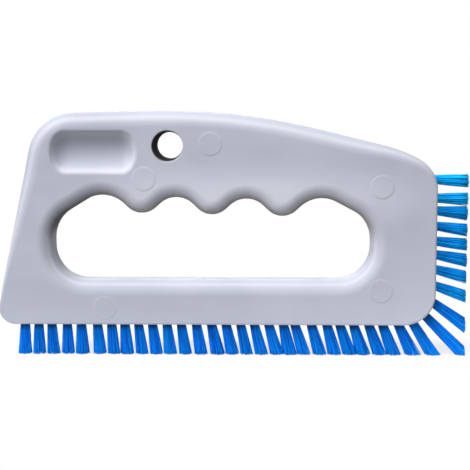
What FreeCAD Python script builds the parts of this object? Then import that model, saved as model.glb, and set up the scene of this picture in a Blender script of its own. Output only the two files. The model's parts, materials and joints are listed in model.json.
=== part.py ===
import FreeCAD, Part
import Sketcher
import math
import os

Vector = FreeCAD.Vector
doc = FreeCAD.newDocument("grout_brush")

# Driving dimensions: millimetres, with leans, tilts and slopes in degrees.
# Heights are above the block's lower edge, and runs are from its heel corner towards the nose.
# A stray is how far one tuft of a row was set off its even place, along the edge.
SIZES = {
    # outline of the block
    "block_thickness": 16.0,
    "base_length": 156.7,
    "heel_lean": 11.0,
    "crown_height": 74.9,
    "brow_rise": 1.8,
    "brow_back": 71.2,
    "shoulder_drop": 12.7,
    "shoulder_back": 12.3,
    "nose_drop": 19.4,
    "heel_radius": 5.8,
    "crown_radius": 17.0,
    "brow_radius": 234.0,
    "shoulder_radius": 48.0,
    "nose_radius": 12.0,
    "toe_radius": 11.3,
    # rolled rim along the top, fading to an edge break on the bristle edges
    "rim_radius": 5.3,
    "edge_break": 0.8,
    # hand opening between two walls, with hollows and crests for four fingers
    "heel_wall": 20.3,
    "nose_wall": 22.6,
    "floor_wall": 15.6,
    "top_wall": 26.8,
    "finger_depth": 11.5,
    "end_drop": 11.1,
    "finger_margin": 19.4,
    "finger_slope": 1.2,
    "opening_radius": 12.0,
    "hollow_radius": 8.5,
    "end_hollow_radius": 11.0,
    "crest_radius": 7.2,
    "opening_rim": 5.0,
    # thumb scoop in the front face, between the rolled rim and the rim of the opening
    "scoop_margin": 8.0,
    "scoop_top_gap": 0.75,
    "scoop_low_gap": 0.85,
    "scoop_length": 31.2,
    "scoop_depth": 3.5,
    "scoop_end_radius": 6.0,
    "scoop_rim": 1.4,
    # hanging hole beside the scoop, drafted from the front and parallel at the back
    "hang_gap": 5.2,
    "hang_top_gap": 0.6,
    "hang_bore_radius": 4.8,
    "hang_draft": 0.7,
    "hang_land": 6.0,
    "hang_edge": 0.3,
    # low round pads left by the ejector pins, each set off from what it lies beside
    "pad_radius": 4.4,
    "pad_proud": 0.1,
    "pad_edge": 0.6,
    "scoop_pad_run": 2.3,
    "scoop_pad_drop": 9.4,
    "hang_pad_run": 15.0,
    "hang_pad_rise": 0.8,
    "nose_pad_back": 19.5,
    "nose_pad_drop": 6.3,
    "toe_pad_rise": 12.4,
    "heel_pad_run": 39.2,
    "heel_pad_rise": 6.1,
    # bristles: free lengths, holes, rows and their tilts from straight down
    "long_free": 12.1,
    "nose_free": 11.8,
    "hole_radius": 1.55,
    "hole_depth": 6.0,
    "tuft_clearance": 0.05,
    "tuft_collar": 1.0,
    "tuft_gap": 0.7,
    "heel_margin": 8.7,
    "toe_margin": 1.5,
    "nose_margin": 2.2,
    "nose_top_margin": 3.8,
    "toe_tilt": 22.5,
    "nose_tilt": 70.0,
    "top_tilt": 88.0,
    "long_stray": -0.8,
    "nose_stray": -0.9,
    # flat anchors that hold the folded tufts
    "anchor_thickness": 0.4,
    "anchor_width": 4.2,
    "anchor_height": 1.8,
    "anchor_fold": 1.0,
}

# Shares of a side, a thickness or a neighbouring round that a rounded edge may use up.
SIDE_SHARE = 0.98
WALL_SHARE = 0.45
ROUND_SHARE = 0.9
# Lengths closer than this are the same.
SAME = 1e-4
# Tufts in the three rows, those that stray, and how they crowd towards the start of the toe.
LONG_COUNT = 27
TOE_COUNT = 3
NOSE_COUNT = 8
LONG_STRAY_INDEX = 20
NOSE_STRAY_INDEX = 7
TOE_CROWDING_RATIO = 1.08

sheet = doc.addObject("Spreadsheet::Sheet", "Sizes")
for row, (word, number) in enumerate(SIZES.items(), start=1):
    sheet.set(f"A{row}", word)
    sheet.set(f"B{row}", str(number))
    sheet.setAlias(f"B{row}", word)
doc.recompute()


def value(formula):
    """A formula of sheet cells, worked out."""
    return float(sheet.evalExpression(formula))


def size(word):
    return value(f"Sizes.{word}")


def bind(thing, formulas):
    """Tie properties of an object to formulas of sheet cells."""
    for prop, formula in formulas.items():
        thing.setExpression(prop, formula)
    return thing


def near(first, second):
    return abs(first - second) < SAME


# Sketches and features

THICKNESS = "Sizes.block_thickness"


def new_sketch(body, name, role, **offset):
    """A sketch on an origin plane of its body, its origin shifted by formulas of sheet cells."""
    sketch = body.newObject("Sketcher::SketchObject", name)
    sketch.AttachmentSupport = [next(item for item in body.Origin.OriginFeatures if item.Role == role)]
    sketch.MapMode = "FlatFace"
    bind(sketch, {f"AttachmentOffset.Base.{axis}": formula for axis, formula in offset.items()})
    return sketch


def hold(sketch, part, point, name, across, up):
    """Hold a point of a sketch at two formulas, or on an axis where the formula is 0."""
    for kind, axis, formula in (("DistanceX", -2, across), ("DistanceY", -1, up)):
        if formula == "0":
            sketch.addConstraint(Sketcher.Constraint("PointOnObject", part, point, axis))
            continue
        index = sketch.addConstraint(Sketcher.Constraint(kind, -1, 1, part, point, value(formula)))
        label = f"{name}_{kind[-1].lower()}"
        sketch.renameConstraint(index, label)
        sketch.setExpression(f"Constraints.{label}", formula)


def measure(sketch, name, constraint, formula):
    """Add one more named dimension to a sketch."""
    index = sketch.addConstraint(constraint)
    sketch.renameConstraint(index, name)
    sketch.setExpression(f"Constraints.{name}", formula)


def polygon(sketch, corners):
    """A closed run of lines through corners: a name and the two formulas that hold it."""
    points = [Vector(value(across), value(up), 0) for name, across, up in corners]
    count = len(points)
    for index, point in enumerate(points):
        sketch.addGeometry(Part.LineSegment(point, points[(index + 1) % count]))
    for index in range(count):
        sketch.addConstraint(Sketcher.Constraint("Coincident", index, 2, (index + 1) % count, 1))
    for index, (name, across, up) in enumerate(corners):
        hold(sketch, index, 1, name, across, up)
    return sketch


def edge_names(shape, wanted):
    return [f"Edge{index}" for index, edge in enumerate(shape.Edges, start=1) if wanted(edge)]


def fillet(body, base, name, wanted, radius):
    rounded = body.newObject("PartDesign::Fillet", name)
    rounded.Base = (base, edge_names(base.Shape, wanted))
    bind(rounded, {"Radius": radius})
    doc.recompute()
    return rounded


def corner_fits(corners, radii):
    """How much of each corner's radius fits, where two rounds share one side of a polygon."""
    points = [Vector(value(across), value(up), 0) for name, across, up in corners]
    count = len(points)
    sides = [points[(index + 1) % count] - points[index] for index in range(count)]
    halves = [sides[index - 1].getAngle(sides[index]) / 2 for index in range(count)]
    runs = [size(radius) * math.tan(half) for radius, half in zip(radii, halves)]
    shares = [SIDE_SHARE * sides[i].Length / (runs[i] + runs[(i + 1) % count]) for i in range(count)]
    return [min(1.0, shares[index - 1], shares[index]) for index in range(count)]


def round_corners(body, base, corners, radii):
    """Round the upright edges of a profile, one fillet for the corners that share a radius."""
    fits = corner_fits(corners, radii)
    for radius in dict.fromkeys(radii):
        chosen = [index for index, word in enumerate(radii) if word == radius]
        spots = [(value(corners[index][1]), value(corners[index][2])) for index in chosen]
        fit = min(fits[index] for index in chosen)

        def upright(edge):
            first, last = edge.firstVertex().Point, edge.lastVertex().Point
            level = near(first.x, last.x) and near(first.z, last.z) and not near(first.y, last.y)
            return level and any(near(first.x, x) and near(first.z, z) for x, z in spots)

        base = fillet(body, base, f"{radius}_round", upright, f"Sizes.{radius} * {fit}")
    return base


# Blank of the block

NOSE_HEIGHT = "(Sizes.crown_height - Sizes.nose_drop)"
SHOULDER_HEIGHT = "(Sizes.crown_height - Sizes.shoulder_drop)"
BROW_HEIGHT = "(Sizes.crown_height + Sizes.brow_rise)"
BROW_RUN = "(Sizes.base_length - Sizes.brow_back)"
OUTLINE = [
    ("heel", "0", "0"),
    ("toe", "Sizes.base_length", "0"),
    ("nose", "Sizes.base_length", NOSE_HEIGHT),
    ("shoulder", "Sizes.base_length - Sizes.shoulder_back", SHOULDER_HEIGHT),
    ("brow", BROW_RUN, BROW_HEIGHT),
    ("crown", "Sizes.crown_height * tan(Sizes.heel_lean)", "Sizes.crown_height"),
]

blank = doc.addObject("PartDesign::Body", "block_blank")
slab = blank.newObject("PartDesign::Pad", "slab")
slab.Profile = polygon(new_sketch(blank, "outline", "XZ_Plane"), OUTLINE)
slab.SideType = "Symmetric"
bind(slab, {"Length": THICKNESS})
doc.recompute()
rounded_slab = round_corners(blank, slab, OUTLINE, [f"{corner[0]}_radius" for corner in OUTLINE])

# Hand opening: a floor, two ends, and a row of hollows and crests for four fingers

FINGER_COUNT = 4
NOSE_END = "(Sizes.base_length - Sizes.nose_wall)"
HOLLOW_LINE = "(Sizes.crown_height - Sizes.top_wall)"
END_TOP = f"{HOLLOW_LINE} - Sizes.end_drop"
HALF_PITCH = f"(({NOSE_END} - Sizes.heel_wall - 2 * Sizes.finger_margin) / {2 * (FINGER_COUNT - 1)})"


def finger_corner(step):
    """A hollow or a crest, so many half pitches from the middle, on the sloping finger line."""
    crest = (step - FINGER_COUNT) % 2 == 0
    kind = "crest" if crest else "hollow"
    along = f"{step} * {HALF_PITCH}"
    height = f"{HOLLOW_LINE} - {int(crest)} * Sizes.finger_depth - {along} * tan(Sizes.finger_slope)"
    return (f"{kind}_{FINGER_COUNT + step}", f"(Sizes.heel_wall + {NOSE_END}) / 2 + {along}", height)


FINGER_ROW = [finger_corner(step) for step in range(FINGER_COUNT - 1, -FINGER_COUNT, -1)]
OPENING = [
    ("floor_heel", "Sizes.heel_wall", "Sizes.floor_wall"),
    ("floor_nose", NOSE_END, "Sizes.floor_wall"),
    ("end_nose", NOSE_END, END_TOP),
    *FINGER_ROW,
    ("end_heel", "Sizes.heel_wall", END_TOP),
]
FINGER_RADII = [f"{name.split('_')[0]}_radius" for name, across, up in FINGER_ROW]
FINGER_RADII[0] = "end_hollow_radius"
FINGER_RADII[-1] = "end_hollow_radius"
OPENING_RADII = ["opening_radius"] * 3 + FINGER_RADII + ["opening_radius"]

hand_opening = blank.newObject("PartDesign::Pocket", "hand_opening")
hand_opening.Profile = polygon(new_sketch(blank, "opening", "XZ_Plane"), OPENING)
hand_opening.SideType = "Symmetric"
hand_opening.Type = "ThroughAll"
doc.recompute()
grip = round_corners(blank, hand_opening, OPENING, OPENING_RADII)


def block_faces(shape):
    """The flat front and back faces of the block, the front one first."""
    half = size("block_thickness") / 2
    flat = [face for face in shape.Faces if near(abs(face.CenterOfMass.y), half)]
    return sorted(flat, key=lambda face: face.CenterOfMass.y)


def hole_edges(faces):
    """Edges of the openings in some faces."""
    wires = [wire for face in faces for wire in face.Wires if not wire.isSame(face.OuterWire)]
    return [edge for wire in wires for edge in wire.Edges]


def among(edges):
    return lambda edge: any(edge.isSame(other) for other in edges)


crest_fit = corner_fits(OPENING, OPENING_RADII)[OPENING_RADII.index("crest_radius")]
RIM_LIMIT = f"min({ROUND_SHARE * crest_fit} * Sizes.crest_radius; {WALL_SHARE} * {THICKNESS})"
both_rims = among(hole_edges(block_faces(grip.Shape)))
OPENING_RIM = f"min(Sizes.opening_rim; {RIM_LIMIT})"
fillet(blank, grip, "opening_rim", both_rims, OPENING_RIM)

# Rolled rim: full along the top of both faces, fading down the heel and the nose

RIM_RADIUS = f"min(Sizes.rim_radius; {WALL_SHARE} * {THICKNESS})"


def rim_at(point):
    """Rim radius at a point of the outline."""
    edge_break = size("edge_break")
    if point.x < value(BROW_RUN):
        low = size("heel_radius")
        high = value("Sizes.crown_height - Sizes.crown_radius")
    else:
        low = value(f"{NOSE_HEIGHT} - Sizes.nose_radius / 2")
        high = value(f"{SHOULDER_HEIGHT} + Sizes.nose_radius / 2")
    share = (point.z - low) / (high - low)
    return edge_break + (value(RIM_RADIUS) - edge_break) * min(max(share, 0.0), 1.0)


on_rim = among([edge for face in block_faces(blank.Shape) for edge in face.OuterWire.Edges])
rolled_rim = doc.addObject("Part::Fillet", "rolled_rim")
rolled_rim.Base = blank
rolled_rim.Edges = [
    (index, rim_at(edge.firstVertex().Point), rim_at(edge.lastVertex().Point))
    for index, edge in enumerate(blank.Shape.Edges, start=1)
    if on_rim(edge)
]
doc.recompute()

# Handle: the block with its thumb scoop, hanging hole and ejector pads

handle = doc.addObject("PartDesign::Body", "handle")
handle.BaseFeature = rolled_rim
doc.recompute()


def groove(sketch, name, axis):
    """Turn a section about an axis of its own sketch, out of the handle."""
    before = handle.Shape.Volume
    cut = handle.newObject("PartDesign::Groove", name)
    cut.Profile = sketch
    cut.ReferenceAxis = (sketch, [axis])
    doc.recompute()
    if not handle.Shape.Volume < before:
        raise RuntimeError(f"{name} cuts nothing")
    return cut


def bar_section(sketch, length, height, radius):
    """Half the section of a round-ended bar, lying on the sketch's level axis."""
    long, tall, curve = value(length), value(height), value(radius)
    corners = [Vector(0, 0, 0), Vector(long, 0, 0), Vector(long, tall - curve, 0)]
    corners += [Vector(long - curve, tall, 0), Vector(curve, tall, 0), Vector(0, tall - curve, 0)]
    for first, last in ((0, 1), (1, 2), (3, 4), (5, 0)):
        sketch.addGeometry(Part.LineSegment(corners[first], corners[last]))
    upwards = Vector(0, 0, 1)
    for middle, start in ((long - curve, 0.0), (curve, math.pi / 2)):
        circle = Part.Circle(Vector(middle, tall - curve, 0), upwards, curve)
        sketch.addGeometry(Part.ArcOfCircle(circle, start, start + math.pi / 2))
    axis, end_wall, floor, start_wall, end_arc, start_arc = range(6)
    for line in (axis, floor):
        sketch.addConstraint(Sketcher.Constraint("Horizontal", line))
    for line in (end_wall, start_wall):
        sketch.addConstraint(Sketcher.Constraint("Vertical", line))
    sketch.addConstraint(Sketcher.Constraint("Coincident", axis, 1, -1, 1))
    sketch.addConstraint(Sketcher.Constraint("Coincident", axis, 2, end_wall, 1))
    sketch.addConstraint(Sketcher.Constraint("Coincident", start_wall, 2, axis, 1))
    round_the_floor = (end_wall, end_arc, floor, start_arc, start_wall)
    for first, last in zip(round_the_floor, round_the_floor[1:]):
        sketch.addConstraint(Sketcher.Constraint("Tangent", first, 2, last, 1))
    sketch.addConstraint(Sketcher.Constraint("Equal", end_arc, start_arc))
    measure(sketch, "length", Sketcher.Constraint("DistanceX", axis, 1, axis, 2, long), length)
    measure(sketch, "height", Sketcher.Constraint("DistanceY", -1, 1, floor, 1, tall), height)
    measure(sketch, "radius", Sketcher.Constraint("Radius", end_arc, curve), radius)
    return sketch


# The scoop is turned about a line in front of the face, so its floor is a trough with rounded ends.
# Its upper edge keeps clear of the rolled rim, and its lower one of the rim of the opening.
SCOOP_TOP = f"(Sizes.crown_height - {RIM_RADIUS} - Sizes.scoop_top_gap)"
SCOOP_LOW = f"({HOLLOW_LINE} + {OPENING_RIM} + Sizes.scoop_low_gap)"
SCOOP_HEIGHT = f"(({SCOOP_TOP} + {SCOOP_LOW}) / 2)"
SCOOP_HALF = f"(({SCOOP_TOP} - {SCOOP_LOW}) / 2)"
SCOOP_RADIUS = f"(({SCOOP_HALF}^2 + Sizes.scoop_depth^2) / (2 * Sizes.scoop_depth))"
SCOOP_START = f"({SCOOP_HEIGHT} * tan(Sizes.heel_lean) + Sizes.scoop_margin)"
SCOOP_LIMIT = f"min({ROUND_SHARE} * {SCOOP_RADIUS}; {WALL_SHARE} * Sizes.scoop_length)"
SCOOP_END_ROUND = f"min(Sizes.scoop_end_radius; {SCOOP_LIMIT})"
scoop_sketch = new_sketch(
    handle,
    "scoop_section",
    "XY_Plane",
    x=SCOOP_START,
    y=f"Sizes.scoop_depth - {SCOOP_RADIUS} - {THICKNESS} / 2",
    z=SCOOP_HEIGHT,
)
bar_section(scoop_sketch, "Sizes.scoop_length", SCOOP_RADIUS, SCOOP_END_ROUND)
scoop = groove(scoop_sketch, "thumb_scoop", "H_Axis")


def touches_front(edge):
    half = size("block_thickness") / 2
    return all(near(vertex.Point.y, -half) for vertex in edge.Vertexes)


def within(edge, run, height, reach):
    """Whether an edge lies on the front face, within reach of a place there."""
    box = edge.BoundBox
    beside = abs(box.Center.x - run) < reach and abs(box.Center.z - height) < reach
    return touches_front(edge) and beside and box.XMax - run < reach and run - box.XMin < reach


SCOOP_RUN = f"({SCOOP_START} + Sizes.scoop_length / 2)"
SCOOP_END = f"({SCOOP_START} + Sizes.scoop_length)"
scoop_place = (value(SCOOP_RUN), value(SCOOP_HEIGHT), size("scoop_length") / 2)
# The rim of the scoop is rounded as far as the gaps above and below it leave room.
SCOOP_GAP = "min(Sizes.scoop_top_gap; Sizes.scoop_low_gap)"
SCOOP_RIM = f"min(Sizes.scoop_rim; {ROUND_SHARE} * {SCOOP_GAP} * {SCOOP_HALF} / Sizes.scoop_depth)"
fillet(handle, scoop, "scoop_rim", lambda edge: within(edge, *scoop_place), SCOOP_RIM)

HANG_MOUTH = "(Sizes.hang_bore_radius + Sizes.hang_draft)"
HANG_RUN = f"({SCOOP_END} + Sizes.hang_gap + {HANG_MOUTH})"
HANG_HEIGHT = f"(Sizes.crown_height - {RIM_RADIUS} - Sizes.hang_top_gap - {HANG_MOUTH})"
hang_offset = {"x": HANG_RUN, "y": f"-{THICKNESS} / 2", "z": HANG_HEIGHT}
hang_sketch = new_sketch(handle, "hang_section", "XY_Plane", **hang_offset)
HANG_SECTION = [
    ("front_axis", "0", "0"),
    ("mouth", HANG_MOUTH, "0"),
    ("land", "Sizes.hang_bore_radius", f"{THICKNESS} - Sizes.hang_land"),
    ("back", "Sizes.hang_bore_radius", THICKNESS),
    ("back_axis", "0", THICKNESS),
]
hang_hole = groove(polygon(hang_sketch, HANG_SECTION), "hanging_hole", "V_Axis")
hang_place = (value(HANG_RUN), value(HANG_HEIGHT), value(f"{HANG_MOUTH} + Sizes.hang_edge"))
fillet(handle, hang_hole, "hang_edge", lambda edge: within(edge, *hang_place), "Sizes.hang_edge")

PADS = [
    ("scoop_pad", f"{SCOOP_END} + Sizes.scoop_pad_run", f"{SCOOP_HEIGHT} - Sizes.scoop_pad_drop"),
    ("hang_pad", f"{HANG_RUN} + Sizes.hang_pad_run", f"{HANG_HEIGHT} + Sizes.hang_pad_rise"),
    ("nose_pad", "Sizes.base_length - Sizes.nose_pad_back", f"{NOSE_HEIGHT} - Sizes.nose_pad_drop"),
    ("toe_pad", "Sizes.base_length - Sizes.nose_pad_back", "Sizes.toe_pad_rise"),
    ("heel_pad", "Sizes.heel_pad_run", "Sizes.heel_pad_rise"),
]
pad_sketch = new_sketch(handle, "pad_circles", "XZ_Plane", z=f"{THICKNESS} / 2")
for index, (name, across, up) in enumerate(PADS):
    middle = Vector(value(across), value(up), 0)
    pad_sketch.addGeometry(Part.Circle(middle, Vector(0, 0, 1), size("pad_radius")))
    hold(pad_sketch, index, 3, name, across, up)
    pad_round = Sketcher.Constraint("Radius", index, size("pad_radius"))
    measure(pad_sketch, f"{name}_radius", pad_round, "Sizes.pad_radius")
pads = handle.newObject("PartDesign::Pad", "ejector_pads")
pads.Profile = pad_sketch
bind(pads, {"Length": "Sizes.pad_proud", "TaperAngle": "-atan(Sizes.pad_edge / Sizes.pad_proud)"})
doc.recompute()

# Rows of tufts: where each hole opens on the edge of the block, and its tilt from straight down


def blend(first, last, share):
    return first + (last - first) * share


def shares(count):
    """Even shares from 0 to 1 for a row of so many tufts."""
    return [index / (count - 1) for index in range(count)]


LONG_START = "Sizes.heel_margin"
LONG_END = "(Sizes.base_length - Sizes.toe_radius - Sizes.toe_margin)"
TOE_START = "(-Sizes.toe_margin)"
TOE_END = "(Sizes.toe_radius * pi / 2 + Sizes.nose_margin)"
NOSE_START = "(Sizes.toe_radius + Sizes.nose_margin)"
NOSE_END_TUFT = f"({NOSE_HEIGHT} - Sizes.nose_top_margin)"


def long_row():
    """Square to the edge at the heel, leaning further towards the toe."""
    for index, share in enumerate(shares(LONG_COUNT), start=1):
        stray = size("long_stray") if index == LONG_STRAY_INDEX else 0.0
        run = blend(value(LONG_START), value(LONG_END), share)
        yield run + stray, 0.0, size("toe_tilt") * share


def toe_row():
    """Round the toe, between the last tuft of the long edge and the first of the nose edge."""
    radius = size("toe_radius")
    middle = value("Sizes.base_length - Sizes.toe_radius")
    for even in shares(TOE_COUNT + 2)[1:-1]:
        share = even**TOE_CROWDING_RATIO
        turn = blend(value(TOE_START), value(TOE_END), share) / radius
        tilt = blend(size("toe_tilt"), size("nose_tilt"), share)
        yield middle + radius * math.sin(turn), radius * (1 - math.cos(turn)), tilt


def nose_row():
    """Up the nose edge, from the tilt of the toe to almost level."""
    for index, share in enumerate(shares(NOSE_COUNT), start=1):
        stray = size("nose_stray") if index == NOSE_STRAY_INDEX else 0.0
        height = blend(value(NOSE_START), value(NOSE_END_TUFT), share)
        tilt = blend(size("top_tilt"), size("nose_tilt"), (1 - share) ** 2)
        yield size("base_length"), height + stray, tilt


# Each row with its places, and the pitch that its tufts share out between them
ROWS = {
    "long": (long_row, f"(({LONG_END} - {LONG_START}) / {LONG_COUNT - 1})"),
    "toe": (toe_row, f"(({TOE_END} - {TOE_START}) / {TOE_COUNT + 1})"),
    "nose": (nose_row, f"(({NOSE_END_TUFT} - {NOSE_START}) / {NOSE_COUNT - 1})"),
}

# Tufts: a round root in its hole, flaring to loose trimmed ends, folded round a flat anchor

ROOT_RADIUS = "(Sizes.hole_radius - Sizes.tuft_clearance)"
REACH = "(Sizes.long_free + Sizes.nose_free + Sizes.toe_radius)"


def along_hole(thing, row_place, depth, aside=Vector(0, 0, 0)):
    """Stand an object on the axis of a hole, so deep below its mouth, pointing out of the block."""
    run, height, tilt = row_place
    turn = FreeCAD.Rotation(Vector(0, 1, 0), 180 - tilt)
    start = Vector(run, 0, height) - turn.multVec(Vector(0, 0, depth) - aside)
    thing.Placement = FreeCAD.Placement(start, turn)
    return thing


def make(kind, name, **links):
    thing = doc.addObject(kind, name)
    for prop, item in links.items():
        setattr(thing, prop, item)
    return thing


trim = bind(
    make("Part::Box", "trim"),
    {
        "Length": "Sizes.base_length + Sizes.nose_free",
        "Width": THICKNESS,
        "Height": f"Sizes.long_free + {BROW_HEIGHT}",
        "Placement.Base.y": f"-{THICKNESS} / 2",
        "Placement.Base.z": "-Sizes.long_free",
    },
)


def make_anchor(name, row_place):
    anchor = make("Part::Box", f"anchor_{name}")
    for prop, word in (("Length", "thickness"), ("Width", "width"), ("Height", "height")):
        bind(anchor, {prop: f"Sizes.anchor_{word}"})
    aside = Vector(-size("anchor_thickness") / 2, -size("anchor_width") / 2, 0)
    return along_hole(anchor, row_place, value("Sizes.hole_depth - Sizes.anchor_fold"), aside)


def make_drill(name, row_place):
    drill = make("Part::Cylinder", f"drill_{name}")
    bind(drill, {"Radius": "Sizes.hole_radius", "Height": "Sizes.hole_depth + Sizes.long_free"})
    return along_hole(drill, row_place, size("hole_depth"))


def make_tuft(name, row_place, pitch, anchor):
    root = make("Part::Cylinder", f"root_{name}")
    root_height = "Sizes.hole_depth - Sizes.tuft_clearance + Sizes.tuft_collar"
    bind(root, {"Radius": ROOT_RADIUS, "Height": root_height})
    along_hole(root, row_place, value("Sizes.hole_depth - Sizes.tuft_clearance"))
    tip_radius = f"({pitch} - Sizes.tuft_gap) / 2"
    flare = make("Part::Cone", f"flare_{name}")
    bind(flare, {"Radius1": ROOT_RADIUS, "Radius2": tip_radius, "Height": "Sizes.long_free"})
    along_hole(flare, row_place, -size("tuft_collar"))
    ends = make("Part::Cylinder", f"ends_{name}")
    bind(ends, {"Radius": tip_radius, "Height": REACH})
    along_hole(ends, row_place, -value("Sizes.tuft_collar + Sizes.long_free"))
    bundle = make("Part::MultiFuse", f"bundle_{name}", Shapes=[root, flare, ends])
    trimmed = make("Part::Common", f"trimmed_{name}", Base=bundle, Tool=trim)
    return make("Part::Cut", f"tuft_{name}", Base=trimmed, Tool=anchor)


subparts = []
drills = []
anchors = []
for row, (places, pitch) in ROWS.items():
    row_anchors = []
    for index, row_place in enumerate(places(), start=1):
        name = f"{row}_{index:02d}"
        drills.append(make_drill(name, row_place))
        row_anchors.append(make_anchor(name, row_place))
        subparts.append(make_tuft(name, row_place, pitch, row_anchors[-1]))
    anchors += row_anchors
    subparts.append(make("Part::Compound", f"anchors_{row}", Links=row_anchors))

drilled = make("Part::Cut", "drilled", Base=handle, Tool=make("Part::Compound", "drills", Links=drills))
notches = make("Part::Compound", "notches", Links=anchors)
subparts.insert(0, make("Part::Cut", "handle_block", Base=drilled, Tool=notches))

# Frame: the tips of the long row stand at height 0, with the brush centred along its length

HEEL_OVERHANG = "Sizes.heel_radius * (tan(Sizes.heel_lean) + 1 / cos(Sizes.heel_lean) - 1)"
for subpart in subparts:
    subpart.Label = subpart.Name
    bind(
        subpart,
        {
            "Placement.Base.x": f"-(Sizes.base_length + Sizes.nose_free + {HEEL_OVERHANG}) / 2",
            "Placement.Base.z": "Sizes.long_free",
        },
    )
doc.recompute()

failed = [item.Name for item in doc.Objects if "Invalid" in item.State or "Error" in item.State]
failed += [item.Label for item in subparts if item.Shape.isNull() or not item.Shape.isValid()]
if failed:
    raise RuntimeError(f"failed: {failed}")
os.makedirs("parts", exist_ok=True)
for subpart in subparts:
    subpart.Shape.exportStep(f"parts/{subpart.Label}.step")
print(len(subparts), "sub-parts written")
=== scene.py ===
# %% [markdown]
# # A grout brush
#
# The real object is a grey plastic block that the hand goes through, with stiff blue bristles set
# along its foot and up its nose. The solids are already drawn, in metres and in one frame, so this
# lesson only dresses them: it gives the moulding its plastic, puts real filaments where the plain
# tufts stand, and lights the result.

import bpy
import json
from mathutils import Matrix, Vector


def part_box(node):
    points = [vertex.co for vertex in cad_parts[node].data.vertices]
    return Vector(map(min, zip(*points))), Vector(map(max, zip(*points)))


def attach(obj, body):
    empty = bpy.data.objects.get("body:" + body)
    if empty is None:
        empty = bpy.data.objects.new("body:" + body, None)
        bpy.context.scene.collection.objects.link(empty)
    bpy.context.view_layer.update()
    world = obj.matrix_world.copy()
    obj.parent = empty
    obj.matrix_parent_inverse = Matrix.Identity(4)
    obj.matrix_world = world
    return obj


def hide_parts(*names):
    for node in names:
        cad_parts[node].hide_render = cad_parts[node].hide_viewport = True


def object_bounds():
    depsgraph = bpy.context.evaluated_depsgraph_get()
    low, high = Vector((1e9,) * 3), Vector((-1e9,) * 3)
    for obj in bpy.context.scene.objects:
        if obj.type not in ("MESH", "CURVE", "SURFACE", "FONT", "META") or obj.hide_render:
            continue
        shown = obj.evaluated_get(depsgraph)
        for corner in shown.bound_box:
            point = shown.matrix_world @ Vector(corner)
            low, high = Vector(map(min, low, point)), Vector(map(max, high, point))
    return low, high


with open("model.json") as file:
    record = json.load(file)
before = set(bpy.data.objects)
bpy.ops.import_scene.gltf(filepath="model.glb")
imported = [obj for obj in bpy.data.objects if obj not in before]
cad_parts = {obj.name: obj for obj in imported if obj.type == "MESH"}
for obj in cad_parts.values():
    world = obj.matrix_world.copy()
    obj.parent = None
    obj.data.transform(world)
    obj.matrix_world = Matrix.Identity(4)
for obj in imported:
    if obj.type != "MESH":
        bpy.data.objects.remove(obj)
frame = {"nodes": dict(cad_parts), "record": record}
CAD_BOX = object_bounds()
print("solids:", len(frame["nodes"]))
print("box:", [tuple(round(side, 4) for side in corner) for corner in CAD_BOX])

# %% [markdown]
# ## Helpers for finishes
#
# A finish in Blender is a small net of nodes. Typing out each node and link by hand hides the idea,
# so the first helper adds one node, sets its options, and fills its sockets with either a number or
# the output of another node. The others are built on it: sums, noise, a smooth change from one
# value to another, and a mix of two colours.

# %% Nodes and shaders
import bpy

MM = 0.001


def add_node(finish, kind, sockets=None, **options):
    """Add a node to a finish: options are its settings, sockets its inputs by name or place."""
    made = finish.node_tree.nodes.new(kind)
    for option, setting in options.items():
        setattr(made, option, setting)
    for socket, source in (sockets or {}).items():
        if isinstance(source, bpy.types.NodeSocket):
            finish.node_tree.links.new(source, made.inputs[socket])
        else:
            made.inputs[socket].default_value = source
    return made


def new_finish(name, **shader_sockets):
    """A new material and its Principled shader, with the sockets that are the same all over it."""
    finish = bpy.data.materials.new(name)
    finish.use_nodes = True
    shader = finish.node_tree.nodes["Principled BSDF"]
    for socket, setting in shader_sockets.items():
        shader.inputs[socket.replace("_", " ")].default_value = setting
    return finish, shader


def feed(finish, shader, socket, source):
    """Let the output of a node set one socket of a shader."""
    finish.node_tree.links.new(source, shader.inputs[socket])


print("nodes and shaders can be made")

# %% Sums, noise, fades and mixes
def math_node(finish, operation, first, second=0.0, third=0.0):
    """A sum or product of numbers."""
    sockets = {0: first, 1: second, 2: third}
    return add_node(finish, "ShaderNodeMath", sockets, operation=operation).outputs["Value"]


def vector_node(finish, operation, first, second=(0.0, 0.0, 0.0)):
    """A sum or product of vectors. The length of one is a number."""
    made = add_node(finish, "ShaderNodeVectorMath", {0: first, 1: second}, operation=operation)
    return made.outputs["Value" if operation == "LENGTH" else "Vector"]


def noise(finish, spot, scale, detail):
    """Cloudy numbers round 0.5 that change about as many times in a metre as the scale says."""
    sockets = {"Vector": spot, "Scale": scale, "Detail": detail}
    return add_node(finish, "ShaderNodeTexNoise", sockets).outputs["Fac"]


def stretch(finish, spot, scales):
    """The same spot with its three sides scaled, so that noise on it is drawn out."""
    sockets = {"Vector": spot, "Scale": scales}
    return add_node(finish, "ShaderNodeMapping", sockets).outputs["Vector"]


def fade(finish, source, start, end, low=0.0, high=1.0):
    """A smooth change from low to high while the source goes from start to end."""
    sockets = {"Value": source, "From Min": start, "From Max": end, "To Min": low, "To Max": high}
    ramp = add_node(finish, "ShaderNodeMapRange", sockets, interpolation_type="SMOOTHSTEP")
    return ramp.outputs["Result"]


def mix_colours(finish, share, first, second):
    """The first colour where the share is 0, the second where it is 1."""
    mixer = add_node(finish, "ShaderNodeMix", data_type="RGBA")
    for socket, source in (("Factor", share), ("A", first), ("B", second)):
        found = [item for item in mixer.inputs if item.name == socket and item.enabled][0]
        if isinstance(source, bpy.types.NodeSocket):
            finish.node_tree.links.new(source, found)
        else:
            found.default_value = source
    return [item for item in mixer.outputs if item.enabled][0]


print("sums, noise, fades and mixes can be made")

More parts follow.
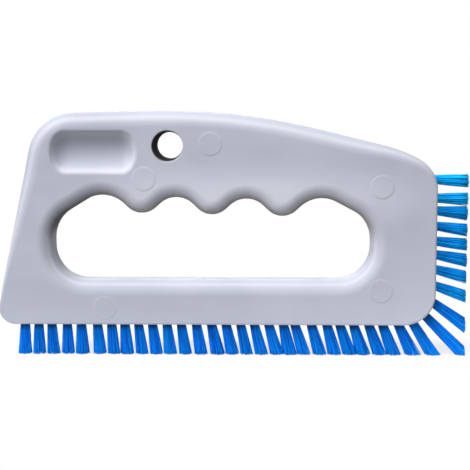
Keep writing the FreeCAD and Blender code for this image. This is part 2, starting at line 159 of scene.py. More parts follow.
# %% [markdown]
# ## The moulded grey plastic
#
# The block is one injection moulding with a satin skin. Up close such plastic isn't one flat grey: the
# melt leaves soft clouds and long flow streaks, and the grey here is also made a little paler towards
# the nose and darker towards the foot. A flat colour would look like paint, and a picture of plastic
# would have to be wrapped round the block. So the grey is worked out from Object coordinates, which are
# plain metres here: a noise of scale 24 has clouds of about 40 mm.

# %% Plastic: clouds and streaks
PLASTIC_GLOSS = 0.18
CLOUD_SCALE, CLOUD_DETAIL = 24.0, 3.0
STREAK_STRETCH = (14.0, 60.0, 90.0)
STREAK_SCALE, STREAK_DETAIL = 2.0, 2.0
STREAK_SHARE = 0.25

plastic, plastic_shader = new_finish("satin_grey_plastic", Specular_IOR_Level=PLASTIC_GLOSS)
place = add_node(plastic, "ShaderNodeTexCoord").outputs["Object"]
clouds = noise(plastic, place, CLOUD_SCALE, CLOUD_DETAIL)
drawn_out = stretch(plastic, place, STREAK_STRETCH)
streaks = noise(plastic, drawn_out, STREAK_SCALE, STREAK_DETAIL)
blotches = math_node(plastic, "MULTIPLY_ADD", streaks, STREAK_SHARE, -STREAK_SHARE / 2)
cloudy = math_node(plastic, "ADD", clouds, blotches)
print("clouds and streaks:", len(plastic.node_tree.nodes), "nodes")

# %% Plastic: tone along and up the block
GREY_DEEP = (0.392, 0.411, 0.488, 1.0)
GREY_PALE = (0.457, 0.475, 0.553, 1.0)
HEEL_TONE, NOSE_TONE = -0.03, 0.13
FOOT_TONE, FOOT_REACH = -0.11, 20 * MM
DEEP_TONE, PALE_TONE = 0.3, 0.75
BLOCK_LOW, BLOCK_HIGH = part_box("handle_block")

lengthwise, through, upward = add_node(plastic, "ShaderNodeSeparateXYZ", {0: place}).outputs[:3]
along_tone = fade(plastic, lengthwise, CAD_BOX[0].x, CAD_BOX[1].x, HEEL_TONE, NOSE_TONE)
footed = fade(plastic, upward, BLOCK_LOW.z, BLOCK_LOW.z + FOOT_REACH, FOOT_TONE, 0.0)
tone = math_node(plastic, "ADD", math_node(plastic, "ADD", cloudy, along_tone), footed)
grey = mix_colours(plastic, fade(plastic, tone, DEEP_TONE, PALE_TONE), GREY_DEEP, GREY_PALE)
print("the tone is deepest at the foot, at", round(BLOCK_LOW.z, 4))

# %% [markdown]
# ## Where hands have been, and painted light and shade
#
# A used brush shows where it is held: the bar over the opening is rubbed smoother. Its colour also
# carries painted light. A painted sheen makes the bar paler, a painted highlight makes the rounded
# edges pale, on the floor of the opening a little deeper in than outside, and painted shade makes the
# roof of the finger hollows dark, most of all in the corner at the heel. Each of these places could be
# painted by hand on an unwrapped block. Here a distance or a height finds it instead: how far a spot is
# from the middle of the bar, and how deep it lies below the flat faces, which tells an edge or a wall
# from a face.

# %% Plastic: the bar, rubbed smoother, with a painted sheen
GREY_PAINTED_SHEEN = (0.572, 0.588, 0.670, 1.0)
BAR_MIDDLE = (6 * MM, 0.0, 57.5 * MM)
BAR_REACH = (80 * MM, 1.0, 15 * MM)
BAR_CORE, BAR_END = 0.1, 1.0

from_bar = vector_node(plastic, "SUBTRACT", place, BAR_MIDDLE)
bar_distance = vector_node(plastic, "LENGTH", vector_node(plastic, "DIVIDE", from_bar, BAR_REACH))
worn_and_sheen = fade(plastic, math_node(plastic, "ADD", bar_distance, blotches), BAR_CORE, BAR_END, 1.0, 0.0)
# painted sheen: the bar is mixed towards a paler grey
grey = mix_colours(plastic, worn_and_sheen, grey, GREY_PAINTED_SHEEN)
print("rubbed bar: middle", BAR_MIDDLE)

# %% Plastic: walls and the hand opening
from mathutils import Vector

FACE = BLOCK_HIGH.y
WALL_DEEP, WALL_SHALLOW = 2.8 * MM, 0.2 * MM
OPENING = frame["record"]["physics"]["openings"][0]
OPENING_LOW, OPENING_HIGH = (Vector(corner) for corner in OPENING["box_m"])
HALF_OPENING = (OPENING_HIGH.x - OPENING_LOW.x) / 2
PAST_END, PAST_END_CLEAR = 8 * MM, 12 * MM
PAST_ROOF, PAST_ROOF_CLEAR = 12 * MM, 14 * MM
HOLLOW_START, HOLLOW_FULL = 9 * MM, 18 * MM

depth = math_node(plastic, "ABSOLUTE", through)
on_wall = fade(plastic, depth, FACE - WALL_DEEP, FACE - WALL_SHALLOW, 1.0, 0.0)
off_middle = math_node(plastic, "SUBTRACT", lengthwise, (OPENING_LOW.x + OPENING_HIGH.x) / 2)
aside_middle = math_node(plastic, "ABSOLUTE", off_middle)
in_length = fade(
    plastic, aside_middle, HALF_OPENING + PAST_END, HALF_OPENING + PAST_END_CLEAR, 1.0, 0.0
)
below_scoop = fade(
    plastic, upward, OPENING_HIGH.z + PAST_ROOF, OPENING_HIGH.z + PAST_ROOF_CLEAR, 1.0, 0.0
)
above_floor = fade(plastic, upward, OPENING_LOW.z + HOLLOW_START, OPENING_LOW.z + HOLLOW_FULL)
in_opening = math_node(plastic, "MULTIPLY", in_length, below_scoop)
in_hollows = math_node(plastic, "MULTIPLY", in_opening, above_floor)
print("faces at", round(FACE, 4), "and half the opening is", round(HALF_OPENING, 4))

# %% Plastic: painted highlight on the edges
GREY_EDGE_HIGHLIGHT = (0.562, 0.568, 0.615, 1.0)
EDGE_HIGHLIGHT_SHARE = 0.55
FLOOR_RIM_SHIFT = 0.8 * MM
EDGE_START, EDGE_PALE = 2.2 * MM, 1.0 * MM
EDGE_PALE_END, EDGE_END = 0.8 * MM, 0.15 * MM

shift = math_node(plastic, "MULTIPLY", in_opening, FLOOR_RIM_SHIFT)
edge_depth = math_node(plastic, "ADD", depth, shift)
edge_start = fade(plastic, edge_depth, FACE - EDGE_START, FACE - EDGE_PALE)
edge_end = fade(plastic, edge_depth, FACE - EDGE_PALE_END, FACE - EDGE_END, 1.0, 0.0)
edge = math_node(plastic, "MULTIPLY", edge_start, edge_end)
edge_highlight = math_node(plastic, "MULTIPLY", edge, math_node(plastic, "SUBTRACT", 1.0, in_hollows))
# painted highlight: the rounded edges are mixed towards a paler grey
grey = mix_colours(plastic, math_node(plastic, "MULTIPLY", edge_highlight, EDGE_HIGHLIGHT_SHARE), grey, GREY_EDGE_HIGHLIGHT)
print("edges are palest", round(EDGE_PALE, 4), "m below the faces")

# %% Plastic: painted shade in the finger hollows
GREY_HOLLOW_SHADE = (0.340, 0.322, 0.318, 1.0)
GREY_HEEL_SHADE = (0.17, 0.16, 0.16, 1.0)
HEEL_SHADE_REACH = 22 * MM

hollow_walls = math_node(plastic, "MULTIPLY", on_wall, in_hollows)
off_heel = fade(plastic, lengthwise, OPENING_LOW.x, OPENING_LOW.x + HEEL_SHADE_REACH)
hollow_shade_grey = mix_colours(plastic, off_heel, GREY_HEEL_SHADE, GREY_HOLLOW_SHADE)
# painted shade: the walls of the finger hollows are mixed darker, darkest in the corner at the heel
grey = mix_colours(plastic, hollow_walls, grey, hollow_shade_grey)
print("hollows are darkest at", round(OPENING_LOW.x, 4))

# %% [markdown]
# ## The hanging hole and the skin
#
# The wall of the hanging hole is hardly lit and shows nearly black. Its radius is known, so a dark disc
# round its axis puts painted shade on the wall and stops at the mouth. The painted shade is set off a
# hair's width to one side, because the mouth shows more of its left wall. The skin of the block has the
# fine grain of a spark-eroded mould: it is too small to model, so a bump gives it, and a slower noise
# makes some places more matt.

# %% Plastic: painted shade on the wall of the hanging hole
SHADED_GREY = (0.022, 0.020, 0.026, 1.0)
MOUTH_FLARE = 0.72 * MM
HANG_HOLE = frame["record"]["mounts"][0]
HANG_X, HANG_Z = HANG_HOLE["pos_m"][0], HANG_HOLE["pos_m"][2]
HANG_MOUTH = HANG_HOLE["dims"]["r_mm"] * MM + MOUTH_FLARE
DARK_MIDDLE = (HANG_X - 0.12 * MM, 0.0, HANG_Z + 0.03 * MM)
DARK_INSIDE, DARK_OUTSIDE = 0.35 * MM, 0.25 * MM
FLAT = (1.0, 0.0, 1.0)

from_hole = vector_node(plastic, "SUBTRACT", place, DARK_MIDDLE)
hole_radius = vector_node(plastic, "LENGTH", vector_node(plastic, "MULTIPLY", from_hole, FLAT))
hole_wall = fade(plastic, hole_radius, HANG_MOUTH - DARK_INSIDE, HANG_MOUTH + DARK_OUTSIDE, 1.0, 0.0)
# painted shade: the wall of the hanging hole is mixed nearly black
feed(plastic, plastic_shader, "Base Color", mix_colours(plastic, hole_wall, grey, SHADED_GREY))
print("hanging hole at", round(HANG_X, 4), round(HANG_Z, 4), "dark within", round(HANG_MOUTH, 5))

# %% Plastic: matt and rubbed skin
SKIN_SCALE, SKIN_DETAIL = 180.0, 4.0
SKIN_LOW, SKIN_HIGH = 0.3, 0.7
SMOOTHEST, MATTEST = 0.45, 0.58
RUBBED_SMOOTHER = 0.1
HANDLED_DULL = 0.9

skin = noise(plastic, place, SKIN_SCALE, SKIN_DETAIL)
matt = fade(plastic, skin, SKIN_LOW, SKIN_HIGH, SMOOTHEST, MATTEST)
rubbed = math_node(plastic, "SUBTRACT", matt, math_node(plastic, "MULTIPLY", worn_and_sheen, RUBBED_SMOOTHER))
dull = math_node(plastic, "MAXIMUM", hole_wall, math_node(plastic, "MULTIPLY", hollow_walls, HANDLED_DULL))
feed(plastic, plastic_shader, "Roughness", math_node(plastic, "MAXIMUM", rubbed, dull))
print("roughness from", SMOOTHEST, "to", MATTEST, "on the faces")

# %% Plastic: grain
GRAIN_SCALE, GRAIN_DETAIL = 2600.0, 2.0
GRAIN_STRENGTH, GRAIN_HEIGHT = 0.10, 0.02 * MM

grain = noise(plastic, place, GRAIN_SCALE, GRAIN_DETAIL)
grain_sockets = {"Strength": GRAIN_STRENGTH, "Distance": GRAIN_HEIGHT, "Height": grain}
grain_bump = add_node(plastic, "ShaderNodeBump", grain_sockets).outputs["Normal"]
feed(plastic, plastic_shader, "Normal", grain_bump)
handle_block = frame["nodes"]["handle_block"]
handle_block.material_slots[0].material = plastic
print("handle_block wears", plastic.name, "on", len(handle_block.data.polygons), "faces")

# %% [markdown]
# ## The flat anchors
#
# Each tuft is folded round a short piece of flat drawn wire that is driven across its hole. Nothing
# of it shows, but whoever cuts the model open finds it, so it gets a drawn-metal finish: fine lines
# along the wire and a dull gloss. A noise that is stretched along one direction makes such lines
# without any modelling.

# %% Drawn wire
WIRE_DULL = (0.42, 0.42, 0.41, 1.0)
WIRE_BRIGHT = (0.66, 0.66, 0.64, 1.0)
WIRE_STRETCH = (9000.0, 300.0, 9000.0)
LINE_SCALE, LINE_DETAIL = 1.0, 3.0
LINE_LOW, LINE_HIGH = 0.2, 0.8
WIRE_SMOOTHEST, WIRE_ROUGHEST = 0.28, 0.5

wire, wire_shader = new_finish("drawn_flat_wire", Metallic=1.0)
wire_place = add_node(wire, "ShaderNodeTexCoord").outputs["Object"]
lines = noise(wire, stretch(wire, wire_place, WIRE_STRETCH), LINE_SCALE, LINE_DETAIL)
feed(wire, wire_shader, "Base Color", mix_colours(wire, lines, WIRE_DULL, WIRE_BRIGHT))
wire_rough = fade(wire, lines, LINE_LOW, LINE_HIGH, WIRE_SMOOTHEST, WIRE_ROUGHEST)
feed(wire, wire_shader, "Roughness", wire_rough)
for anchors in ("anchors_long", "anchors_toe", "anchors_nose"):
    frame["nodes"][anchors].material_slots[0].material = wire
    print(anchors, "wears", wire.name)

# %% [markdown]
# ## The blue filament
#
# The bristles are drawn nylon, a strong clear blue. Near the root, where the block shades them, the
# colour is darkened as painted shade, and towards the trimmed ends it is made paler as painted light.
# Two numbers are stored on each filament when it is grown: `shade`, its own small difference from the
# others, raised further for the paler nose tufts as painted light, and `reach`, 0 in the hole and 1 at
# the tip. An Attribute node reads them. One finish then serves thousands of filaments, and the numbers
# stay with them wherever the brush is turned.

# %% Filament colour
BLUE_ROOT_SHADE = (0.002, 0.025, 0.130, 1.0)
BLUE_DEEP = (0.002, 0.175, 0.865, 1.0)
BLUE_PALE = (0.004, 0.500, 1.000, 1.0)
NYLON_ROUGH, NYLON_GLOSS = 0.5, 0.05
TIP_START, TIP_SHARE = 0.7, 0.15
ROOT_DARK, ROOT_END = 0.05, 0.33

nylon, nylon_shader = new_finish(
    "drawn_blue_nylon", Roughness=NYLON_ROUGH, Specular_IOR_Level=NYLON_GLOSS
)
own_shade = add_node(nylon, "ShaderNodeAttribute", attribute_name="shade").outputs["Fac"]
reach = add_node(nylon, "ShaderNodeAttribute", attribute_name="reach").outputs["Fac"]
blue = mix_colours(nylon, own_shade, BLUE_DEEP, BLUE_PALE)
# painted light: the tips are mixed towards the palest blue
tip_lit = mix_colours(nylon, fade(nylon, reach, TIP_START, 1.0, 0.0, TIP_SHARE), blue, BLUE_PALE)
# painted shade: the roots are mixed towards a dark blue
root_shaded = mix_colours(nylon, fade(nylon, reach, ROOT_DARK, ROOT_END), BLUE_ROOT_SHADE, tip_lit)
feed(nylon, nylon_shader, "Base Color", root_shaded)
print("filament finish:", nylon.name)

# %% Filament drag marks
DRAG_SCALE, DRAG_DETAIL = 2500.0, 2.0
DRAG_STRENGTH, DRAG_HEIGHT = 0.15, 0.01 * MM

nylon_place = add_node(nylon, "ShaderNodeTexCoord").outputs["Object"]
drag = noise(nylon, nylon_place, DRAG_SCALE, DRAG_DETAIL)
drag_sockets = {"Strength": DRAG_STRENGTH, "Distance": DRAG_HEIGHT, "Height": drag}
drag_bump = add_node(nylon, "ShaderNodeBump", drag_sockets).outputs["Normal"]
feed(nylon, nylon_shader, "Normal", drag_bump)
print("drag marks of about", round(1000 / DRAG_SCALE, 1), "mm")

# %% [markdown]
# ## Where each tuft stands
#
# The drawing has a plain solid for each tuft: a round root in its hole, flaring to the trimmed
# tips. Its flat root end is square to the hole, so the normal of that one face is the direction of
# the hole, and the middle of the face is where the tuft starts. Reading both from the solid keeps
# every bundle exactly where its tuft is drawn.

# %% Read the axis of a tuft
BLOCK_MIDDLE = (BLOCK_LOW + BLOCK_HIGH) / 2
ROOT_FLAT = 0.01 * MM


def row_direction(node):
    """Roughly where the tufts of a row point: down, forward, or away from the block at the toe."""
    if "toe" in node:
        low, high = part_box(node)
        away = (low + high) / 2 - BLOCK_MIDDLE
        return Vector((away.x, 0, away.z)).normalized()
    return Vector((1, 0, 0)) if "nose" in node else Vector((0, 0, -1))


def tuft_axis(node):
    """The middle of a tuft's root, and the direction in which it leaves the block."""
    solid = frame["nodes"][node].data
    rough = row_direction(node)
    root = min(solid.polygons, key=lambda face: face.center.dot(rough))
    out = -root.normal.normalized()
    level = min(vert.co.dot(out) for vert in solid.vertices)
    rim = [vert.co for vert in solid.vertices if vert.co.dot(out) - level < ROOT_FLAT]
    corners = [Vector([pick(spot[axis] for spot in rim) for axis in range(3)]) for pick in (min, max)]
    return (corners[0] + corners[1]) / 2, out


TUFTS = sorted(node for node in frame["nodes"] if node.startswith("tuft_"))
AXES = {node: tuft_axis(node) for node in TUFTS}
for node in ("tuft_long_01", "tuft_long_27", "tuft_toe_02", "tuft_nose_08"):
    start, out = ([round(side, 4) for side in part] for part in AXES[node])
    print(node, "starts at", start, "and points", out)

# %% [markdown]
# ## One filament
#
# A filament is a thin five-sided tube. A cylinder comes with two rings only, and something that has
# to bend needs more, so its long edges are subdivided. It is made once, straight and standing at
# the origin: every filament of the brush starts as a copy of it. Five sides are enough, because a
# filament is thinner than a pixel.

# %% Straight filament
import bmesh
from mathutils import Matrix

FILAMENT_RADIUS = 0.155 * MM
FILAMENT_SIDES = 5
FILAMENT_RINGS = 7
FILAMENT_LENGTH = 1.0


def straight_filament():
    """A straight tube of length 1, to be stretched to each filament's own length."""
    tube = bmesh.new()
    bmesh.ops.create_cone(
        tube,
        cap_ends=True,
        segments=FILAMENT_SIDES,
        radius1=FILAMENT_RADIUS,
        radius2=FILAMENT_RADIUS,
        depth=FILAMENT_LENGTH,
        matrix=Matrix.Translation((0, 0, FILAMENT_LENGTH / 2)),
    )
    upright = [edge for edge in tube.edges if edge.calc_length() > FILAMENT_LENGTH / 2]
    bmesh.ops.subdivide_edges(tube, edges=upright, cuts=FILAMENT_RINGS - 2, use_grid_fill=True)
    for face in tube.faces:
        face.smooth = len(face.verts) == 4
    pattern = bpy.data.meshes.new("straight_filament")
    tube.to_mesh(pattern)
    tube.free()
    return pattern


FILAMENT = straight_filament()
print("one filament:", len(FILAMENT.vertices), "vertices,", len(FILAMENT.polygons), "faces")

# %% [markdown]
# ## How the tufts differ
#
# A machine sets the tufts, but no tuft stands quite like its neighbour: some are a little aside and
# some lean. That drift is listed for each row in millimetres, at the mouth of the hole and at the tips.
# The rows also differ in painted light: the nose row is painted paler, as lit from above, its top tufts
# most of all, and the painted shade at its roots is weaker than under the long row. A list is the plain
# way here, because chance wouldn't put each tuft in place.

# %% Drift of each tuft
LONG_MOUTHS = (0.33, 0, -0.5, 0, -0.1, 0.5, 0.5, 0.1, -0.1, -0.3, -0.15, -0.2, 0.1, 0.3)
LONG_MOUTHS += (0.4, 0.5, 0.25, 0.25, 0.4, 0, 0, 0.4, -0.15, -0.3, -0.1, -0.3, 0.1)
LONG_TIPS = (0.1, -0.1, -0.15, -0.1, -0.45, 0.65, 0.3, -0.2, -0.1, -0.35, -0.6, -0.55, -0.3, 0.45)
LONG_TIPS += (0.35, 0.2, 0.1, 0.3, -0.25, 0.2, -0.15, -0.15, -0.25, -0.8, -0.25, -0.45, 0.85)
TOE_MOUTHS, TOE_TIPS = (0.45, 0, -0.2), (0.25, 0, -0.9)
NOSE_MOUTHS = (0, 0.35, 0.2, -0.4, -0.4, -0.35, -0.5, -0.2)
NOSE_TIPS = (0.25, 0.7, 0.5, -0.15, -0.8, -0.5, -0.25, -0.2)
ROWS = {
    "long": (LONG_MOUTHS, LONG_TIPS),
    "toe": (TOE_MOUTHS, TOE_TIPS),
    "nose": (NOSE_MOUTHS, NOSE_TIPS),
}

DRIFTS = {}
for row, ends in ROWS.items():
    for number, pair in enumerate(zip(*ends), start=1):
        DRIFTS[f"tuft_{row}_{number:02d}"] = pair
print("tufts with a drift of their own:", len(DRIFTS))

# %% Colour of each row, with painted light and painted shade
ROW_TONES_AND_LIGHT = {"long": (0.0, 0.40), "toe": (0.05, 0.38), "nose": (0.50, 0.60)}
# painted shade: how strongly the roots of each row are darkened
ROW_ROOT_SHADE = {"long": 1.0, "toe": 0.95, "nose": 0.55}
# painted light: these nose tufts are made paler still
PAINTED_PALER_TUFTS = {"tuft_nose_06": 0.1, "tuft_nose_07": 0.4, "tuft_nose_08": 0.4}
print("deepest and palest shade of each row:", ROW_TONES_AND_LIGHT)

# %% [markdown]
# ## A tuft of filaments
#
# A sunflower packs its seeds evenly in a disc, each turned by the golden angle from the last, and
# the same rule packs filaments in a hole. Outside the hole they spread a little, each with a small
# bend of its own. Hair particles would do this too, but they aren't closed meshes, so each filament
# is a copy of the straight tube that is moved vertex by vertex. They are grown too long, and at the
# end a straight cut trims the tips, as the trimming knife does.

# %% How far a tuft reaches
FLOOR_CUT = (Vector((0, 0, CAD_BOX[0].z)), Vector((0, 0, -1)))
NOSE_CUT = (Vector((CAD_BOX[1].x, 0, 0)), Vector((1, 0, 0)))


def cuts_for(node):
    """The cuts that a tuft meets: under the long row, before the nose row, and both at the toe."""
    if "long" in node:
        return [FLOOR_CUT]
    return [NOSE_CUT] if "nose" in node else [FLOOR_CUT, NOSE_CUT]


def axis_length(node):
    """How far along its axis a tuft reaches before the first cut ends it."""
    start, out = AXES[node]
    return min((point - start).dot(normal) / out.dot(normal) for point, normal in cuts_for(node))


LENGTHS = {node: axis_length(node) for node in TUFTS}
print("tuft_toe_02 reaches", round(LENGTHS["tuft_toe_02"] / MM, 2), "mm")

# %% Trim one filament
CUT_TOLERANCE = 1e-7


def trim(tuft, fresh, cuts, shorter):
    """Cut the end off one filament, whose parts are fresh, a little short of the cuts, and close it."""
    for point, normal in cuts:
        geom = [item for item in fresh if item.is_valid]
        cut = bmesh.ops.bisect_plane(
            tuft,
            geom=geom,
            dist=CUT_TOLERANCE,
            plane_co=point - normal * shorter,
            plane_no=normal,
            clear_outer=True,
        )
        rim = [item for item in cut["geom_cut"] if isinstance(item, bmesh.types.BMEdge)]
        cap = bmesh.ops.contextual_create(tuft, geom=rim)["faces"] if rim else []
        fresh = [item for item in cut["geom"] if item.is_valid] + cap


print("cuts for a tuft at the toe:", len(cuts_for("tuft_toe_02")))

# %% Add one filament
def add_filament(tuft):
    """Add one straight filament to a tuft, and list its vertices, edges and faces."""
    kinds = (tuft.verts, tuft.edges, tuft.faces)
    counts = [len(items) for items in kinds]
    tuft.from_mesh(FILAMENT)
    for items in kinds:
        items.ensure_lookup_table()
    return [list(items[count:]) for items, count in zip(kinds, counts)]


trial = bmesh.new()
print("a filament adds", [len(items) for items in add_filament(trial)], "vertices, edges and faces")
trial.free()

# %% Lay one vertex in its tuft
HOLE_DEPTH = 5.95 * MM
OVERLONG = 4.0 * MM
SPREAD = 1.64
FLARE_POWER = 0.65
DRIFT_RAMP = 5
ACROSS = Vector((0, 1, 0))


def lay_vertex(vert, node, width, seat, bend):
    """Move a vertex of a straight filament to its place, and return 0 in the hole to 1 at the tip."""
    start, out = AXES[node]
    length = LENGTHS[node]
    mouth_drift, tip_drift = (drift * MM for drift in DRIFTS[node])
    travel = vert.co.z * (length + OVERLONG)
    free = (travel - HOLE_DEPTH) / (length - HOLE_DEPTH)
    outside = max(free, 0.0)
    spread = 1 + (SPREAD * width - 1) * outside**FLARE_POWER
    aside = seat * spread + bend * outside**2
    eased = min(max(free * DRIFT_RAMP + 1, 0.0), 1.0)
    drift = mouth_drift * eased + (tip_drift - mouth_drift) * outside
    sideways = out.cross(ACROSS) * (aside.x + vert.co.x + drift) + ACROSS * (aside.y + vert.co.y)
    vert.co = start + out * travel + sideways
    return min(outside, 1.0)


print("holes are", round(HOLE_DEPTH / MM, 2), "mm deep, and tufts spread", SPREAD, "times")

# %% Grow a tuft
import math

FILAMENTS = 96
PACKED_RADIUS = 1.39 * MM
PACKING = 0.42
GOLDEN_ANGLE = math.pi * (3 - math.sqrt(5))
TURN_CHANCE = 0.25
BEND_CHANCE = 0.16
NARROWEST, WIDEST = 0.95, 1.05
TUFT_SHORTER, FILAMENT_SHORTER = 0.12, 0.08


def grow_tuft(node, dice):
    """A mesh of loose filaments in the place of one drawn tuft."""
    row = node.split("_")[1]
    deepest, palest = ROW_TONES_AND_LIGHT[row]
    width = dice.uniform(NARROWEST, WIDEST)
    trim_level = dice.uniform(0.0, TUFT_SHORTER) * MM
    tuft = bmesh.new()
    shades = tuft.verts.layers.float.new("shade")
    reaches = tuft.verts.layers.float.new("reach")
    filaments = []
    for index in range(FILAMENTS):
        filaments.append(add_filament(tuft))
        turn = index * GOLDEN_ANGLE + dice.uniform(-TURN_CHANCE, TURN_CHANCE)
        radius = PACKED_RADIUS * ((index + 0.5) / FILAMENTS) ** PACKING
        seat = Vector((math.cos(turn), math.sin(turn))) * radius
        bend = Vector((dice.gauss(0, BEND_CHANCE), dice.gauss(0, BEND_CHANCE))) * MM
        # the nose row's paler shades are painted light
        shade = deepest + (palest - deepest) * dice.random() + PAINTED_PALER_TUFTS.get(node, 0.0)
        for vert in filaments[-1][0]:
            outside = lay_vertex(vert, node, width, seat, bend)
            vert[shades] = shade
            # reach carries the painted shade at the root, as strong as the row's entry says
            vert[reaches] = 1 - (1 - outside) * ROW_ROOT_SHADE[row]
    for verts, edges, faces in filaments:
        shorter = trim_level + dice.uniform(0.0, FILAMENT_SHORTER) * MM
        trim(tuft, verts + edges + faces, cuts_for(node), shorter)
    bmesh.ops.recalc_face_normals(tuft, faces=tuft.faces)
    bundle = bpy.data.meshes.new(f"filaments_{node.removeprefix('tuft_')}")
    tuft.to_mesh(bundle)
    tuft.free()
    return bundle


print("each tuft gets", FILAMENTS, "filaments")

# %% Set every tuft
import random

SEED = 38


def set_tuft(node, dice):
    """Put a grown tuft on the brush, in the place of its drawn solid."""
    bundle = grow_tuft(node, dice)
    bundle.materials.append(nylon)
    piece = bpy.data.objects.new(bundle.name, bundle)
    bpy.context.scene.collection.objects.link(piece)
    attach(piece, "root")
    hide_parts(node)
    return piece


dice = random.Random(SEED)
tuft_pieces = [set_tuft(node, dice) for node in TUFTS]
print(len(tuft_pieces), "tufts,", sum(len(piece.data.polygons) for piece in tuft_pieces), "faces")

# %% [markdown]
# ## Floor and surroundings
#
# The brush stands on a plain white floor in a white room. White walls would throw light from all
# sides and wash out the shading, so the surroundings are white only to the camera, to mirrors and
# to glass, and dim to the light itself. Light Path tells the shader which kind of ray is asking.
# The floor keeps part of its own shading round the brush, so the shadow under the bristles stays,
# and a white card on it throws light up into the bristles. From below the floor is clear, so that
# the underside can be looked at.

# %% Floor: the white card and the table
FLOOR_WHITE = (1.0, 1.0, 1.0, 1.0)
TABLE_GREY = (0.12, 0.12, 0.12, 1.0)
CARD_WHITE = (0.92, 0.92, 0.92, 1.0)
CARD_REACH = 18 * MM
CARD_FADE = 2 * CARD_REACH


def seen_directly(finish):
    """1 for the rays that show a surface to the camera, in a mirror or through glass."""
    path = add_node(finish, "ShaderNodeLightPath").outputs
    seen = math_node(finish, "MAXIMUM", path["Is Camera Ray"], path["Is Glossy Ray"])
    return math_node(finish, "MAXIMUM", seen, path["Is Transmission Ray"])


white_floor = bpy.data.materials.new("white_floor")
white_floor.use_nodes = True
white_floor.node_tree.nodes.clear()
floor_place = add_node(white_floor, "ShaderNodeTexCoord").outputs["Object"]
floor_x, floor_y = add_node(white_floor, "ShaderNodeSeparateXYZ", {0: floor_place}).outputs[:2]
beside = math_node(white_floor, "SUBTRACT", math_node(white_floor, "ABSOLUTE", floor_x), CAD_BOX[1].x)
from_brush = math_node(white_floor, "MAXIMUM", beside, math_node(white_floor, "ABSOLUTE", floor_y))
off_card = fade(white_floor, from_brush, CARD_REACH, CARD_FADE)
seen = seen_directly(white_floor)
bounce = mix_colours(white_floor, off_card, CARD_WHITE, TABLE_GREY)
paint = mix_colours(white_floor, seen, bounce, FLOOR_WHITE)
lit = add_node(white_floor, "ShaderNodeBsdfDiffuse", {"Color": paint}).outputs["BSDF"]
print("the card ends", round(CARD_FADE, 3), "m from the brush")

# %% Floor: white to the eye, clear from below
CARD_GLOW = 0.75


def mix_shaders(finish, share, first, second):
    """The first shader where the share is 0, the second where it is 1."""
    return add_node(finish, "ShaderNodeMixShader", {0: share, 1: first, 2: second}).outputs["Shader"]


glow = add_node(white_floor, "ShaderNodeEmission", {"Color": FLOOR_WHITE}).outputs["Emission"]
glow_here = fade(white_floor, from_brush, CARD_REACH, CARD_FADE, CARD_GLOW, 1.0)
glow_share = math_node(white_floor, "MULTIPLY", seen, glow_here)
above = mix_shaders(white_floor, glow_share, lit, glow)
clear = add_node(white_floor, "ShaderNodeBsdfTransparent").outputs["BSDF"]
from_below = add_node(white_floor, "ShaderNodeNewGeometry").outputs["Backfacing"]
both_sides = mix_shaders(white_floor, from_below, above, clear)
add_node(white_floor, "ShaderNodeOutputMaterial", {"Surface": both_sides})
print("floor finish:", white_floor.name)

# %% Floor sheet
FLOOR_HALF = 6.0

sheet = bmesh.new()
bmesh.ops.create_grid(sheet, x_segments=2, y_segments=2, size=FLOOR_HALF)
floor_mesh = bpy.data.meshes.new("floor")
sheet.to_mesh(floor_mesh)
sheet.free()
floor_mesh.materials.append(white_floor)
floor = bpy.data.objects.new("floor", floor_mesh)
bpy.context.scene.collection.objects.link(floor)
print("floor:", 2 * FLOOR_HALF, "m wide")

# %% Room
ROOM_LIGHT = 0.09

world = bpy.data.worlds.new("white_room")
world.use_nodes = True
bpy.context.scene.world = world
background = world.node_tree.nodes["Background"]
background.inputs["Color"].default_value = FLOOR_WHITE
room = math_node(world, "MULTIPLY_ADD", seen_directly(world), 1.0 - ROOM_LIGHT, ROOM_LIGHT)
feed(world, background, "Strength", room)
print("room light:", ROOM_LIGHT)

# %% [markdown]
# ## Lamps
#
# The photograph shows where its light was: the top rim is brightest, edges that face left are
# lighter than those that face right, and the roof of each finger hollow is dark. So one large soft
# lamp, the key, stands high at the front left. A weak lamp in front and one above fill the shade it
# leaves, and one behind keeps the back from going black in other views. An area lamp's power over
# pi squared and over its distance squared is the brightness it gives a white card, so each lamp is
# listed with the brightness it should give, from which its power follows.

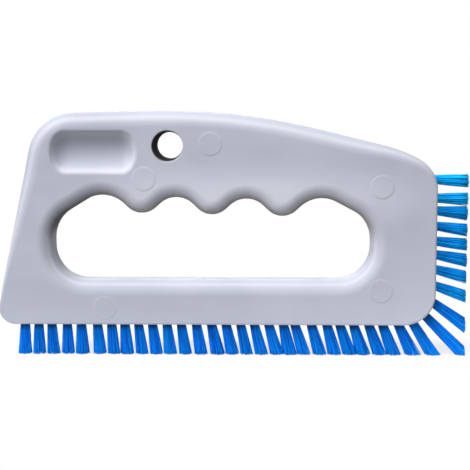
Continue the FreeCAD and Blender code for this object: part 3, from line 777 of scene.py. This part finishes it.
# %% Lamps
LAMP_AIM = Vector((0.0, 0.0, 45 * MM))
LAMPS = {
    "key": {"direction": (-0.62, -0.45, 0.64), "distance": 2.4, "side": 1.4, "brightness": 1.04},
    "front_fill": {"direction": (-0.05, -0.97, 0.22), "distance": 1.6, "side": 0.7, "brightness": 0.22},
    "top_fill": {"direction": (0.02, -0.36, 0.93), "distance": 1.3, "side": 0.6, "brightness": 0.68},
    "back_fill": {"direction": (-0.15, 0.90, 0.40), "distance": 1.4, "side": 1.0, "brightness": 0.36},
}


def area_lamp(name, direction, distance, side, brightness):
    """A square lamp that lights a white card at the aim to a given brightness."""
    lamp = bpy.data.lights.new(name, "AREA")
    lamp.shape = "SQUARE"
    lamp.size = side
    lamp.energy = brightness * (math.pi * distance) ** 2
    holder = bpy.data.objects.new(name, lamp)
    bpy.context.scene.collection.objects.link(holder)
    towards = Vector(direction).normalized()
    holder.location = LAMP_AIM + towards * distance
    holder.rotation_euler = towards.to_track_quat("Z", "Y").to_euler()
    return holder


for name, lamp in LAMPS.items():
    print(name, "stands at", [round(side, 2) for side in area_lamp(name, **lamp).location])

# %% [markdown]
# ## Camera
#
# The brush was photographed from the front, from a little to the right and a little above, with a
# long lens: the lower edge is seen slightly from above and the hanging hole shows its left wall.
# Distance and focal length together set the scale of 0.36 mm to a pixel, on a frame of 470 by 470
# pixels.

# %% Camera
CAMERA_AIM = Vector((0.525, 0.0, 43.53)) * MM
CAMERA_DISTANCE = 0.4
CAMERA_TURN = math.radians(1.2)
CAMERA_RISE = math.radians(6.2)
FRAME_PIXELS = 470
PIXEL = 0.36 * MM
SENSOR = 36.0
NEAREST = 0.01

lens = bpy.data.cameras.new("camera")
lens.sensor_width = SENSOR
lens.lens = SENSOR * CAMERA_DISTANCE / (FRAME_PIXELS * PIXEL)
lens.clip_start = NEAREST
camera = bpy.data.objects.new("camera", lens)
bpy.context.scene.collection.objects.link(camera)
level = math.cos(CAMERA_RISE)
back = Vector((math.sin(CAMERA_TURN) * level, -math.cos(CAMERA_TURN) * level, math.sin(CAMERA_RISE)))
camera.location = CAMERA_AIM + back * CAMERA_DISTANCE
camera.rotation_euler = back.to_track_quat("Z", "Y").to_euler()
bpy.context.scene.camera = camera
bpy.context.scene.view_settings.view_transform = "Standard"
print("lens:", round(lens.lens, 1), "mm at", CAMERA_DISTANCE, "m")

# %% [markdown]
# ## Size
#
# The filaments were trimmed by the planes that end the drawn tufts, so the dressed brush should be as
# large as the drawing.

# %% Size
import json
